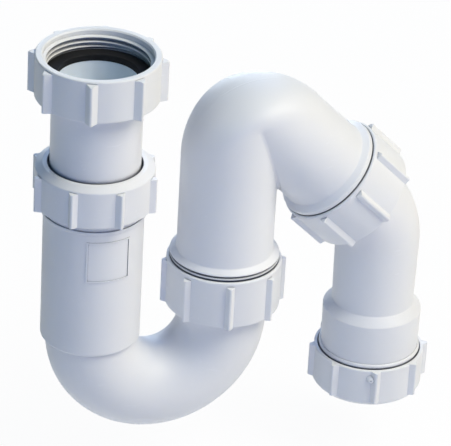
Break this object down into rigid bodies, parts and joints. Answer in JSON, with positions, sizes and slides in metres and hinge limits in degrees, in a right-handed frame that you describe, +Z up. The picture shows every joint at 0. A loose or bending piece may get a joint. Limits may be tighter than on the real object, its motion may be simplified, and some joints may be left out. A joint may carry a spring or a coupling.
{
  "type": "adjustable swivel sink trap",
  "caption": "White plastic sink trap with a telescopic inlet, a U-bend, a swivel bend and an outlet elbow, joined by ribbed hand nuts.",
  "frame": {"origin": "on the inlet leg's axis, in the plane where the threaded wall of the inlet nut begins above its washer, which is where the tail of the waste lands", "axes": "+Z up and out of the inlet, +X from the inlet leg towards the outlet leg"},
  "size_m": [0.1935, 0.0574, 0.1894],
  "materials": {
    "moulding": "satin white polypropylene",
    "nut": "satin white polypropylene, fine spark texture on the ribs",
    "tube": "smooth satin white polypropylene",
    "slip_ring": "smooth natural polyethylene",
    "rubber": "matt black rubber"
  },
  "bodies": {
    "inlet_nut": {"inlet_nut": "nut"},
    "inlet_tube": {"inlet_tube": "tube", "inlet_washer": "rubber"},
    "adjuster_seal": {"adjuster_seal": "rubber"},
    "trap_body": {"trap_body": "moulding", "swivel_washer": "rubber"},
    "adjuster_slip_ring": {"adjuster_slip_ring": "slip_ring"},
    "adjuster_nut": {"adjuster_nut": "nut"},
    "swivel_nut": {"swivel_nut": "nut"},
    "swivel_bend": {"swivel_bend": "moulding"},
    "outlet_elbow": {"outlet_elbow": "moulding", "elbow_washer": "rubber", "outlet_seal": "rubber"},
    "elbow_nut": {"elbow_nut": "nut"},
    "outlet_slip_ring": {"outlet_slip_ring": "slip_ring"},
    "outlet_nut": {"outlet_nut": "nut"}
  },
  "joints": [
    {"name": "inlet_swivel", "type": "hinge", "parent": "inlet_nut", "child": "inlet_tube", "pos_m": [0, 0, 0], "axis": [0, 0, 1], "continuous": true},
    {"name": "inlet_height", "type": "slide", "parent": "inlet_tube", "child": "adjuster_seal", "axis": [0, 0, 1], "range_m": [-0.03, 0.018]},
    {"name": "inlet_turn", "type": "hinge", "parent": "adjuster_seal", "child": "trap_body", "pos_m": [0, 0, -0.048], "axis": [0, 0, 1], "continuous": true},
    {"name": "adjuster_nut_travel", "type": "slide", "parent": "trap_body", "child": "adjuster_slip_ring", "axis": [0, 0, 1], "range_m": [0, 0.00695]},
    {"name": "adjuster_nut_turn", "type": "hinge", "parent": "adjuster_slip_ring", "child": "adjuster_nut", "pos_m": [0, 0, -0.053], "axis": [0, 0, 1], "range_deg": [0, 1080]},
    {"name": "swivel_nut_spin", "type": "hinge", "parent": "trap_body", "child": "swivel_nut", "pos_m": [0.0628, 0, -0.111], "axis": [0, 0, 1], "continuous": true},
    {"name": "bend_swivel", "type": "hinge", "parent": "trap_body", "child": "swivel_bend", "pos_m": [0.0628, 0, -0.113], "axis": [0, 0, 1], "range_deg": [-110, 110]},
    {"name": "outlet_swivel", "type": "hinge", "parent": "swivel_bend", "child": "outlet_elbow", "pos_m": [0.11136, 0, -0.06319], "axis": [0.7071, 0, -0.7071], "continuous": true},
    {"name": "elbow_nut_spin", "type": "hinge", "parent": "outlet_elbow", "child": "elbow_nut", "pos_m": [0.11136, 0, -0.06319], "axis": [0.7071, 0, -0.7071], "continuous": true},
    {"name": "outlet_nut_travel", "type": "slide", "parent": "outlet_elbow", "child": "outlet_slip_ring", "axis": [0, 0, -1], "range_m": [0, 0.00695]},
    {"name": "outlet_nut_turn", "type": "hinge", "parent": "outlet_slip_ring", "child": "outlet_nut", "pos_m": [0.13784, 0, -0.168], "axis": [0, 0, -1], "range_deg": [0, 1080]}
  ],
  "couplings": [
    {"joint": "adjuster_nut_travel", "follows": "adjuster_nut_turn", "m_per_rad": 0.00036749},
    {"joint": "outlet_nut_travel", "follows": "outlet_nut_turn", "m_per_rad": 0.00036749}
  ]
}
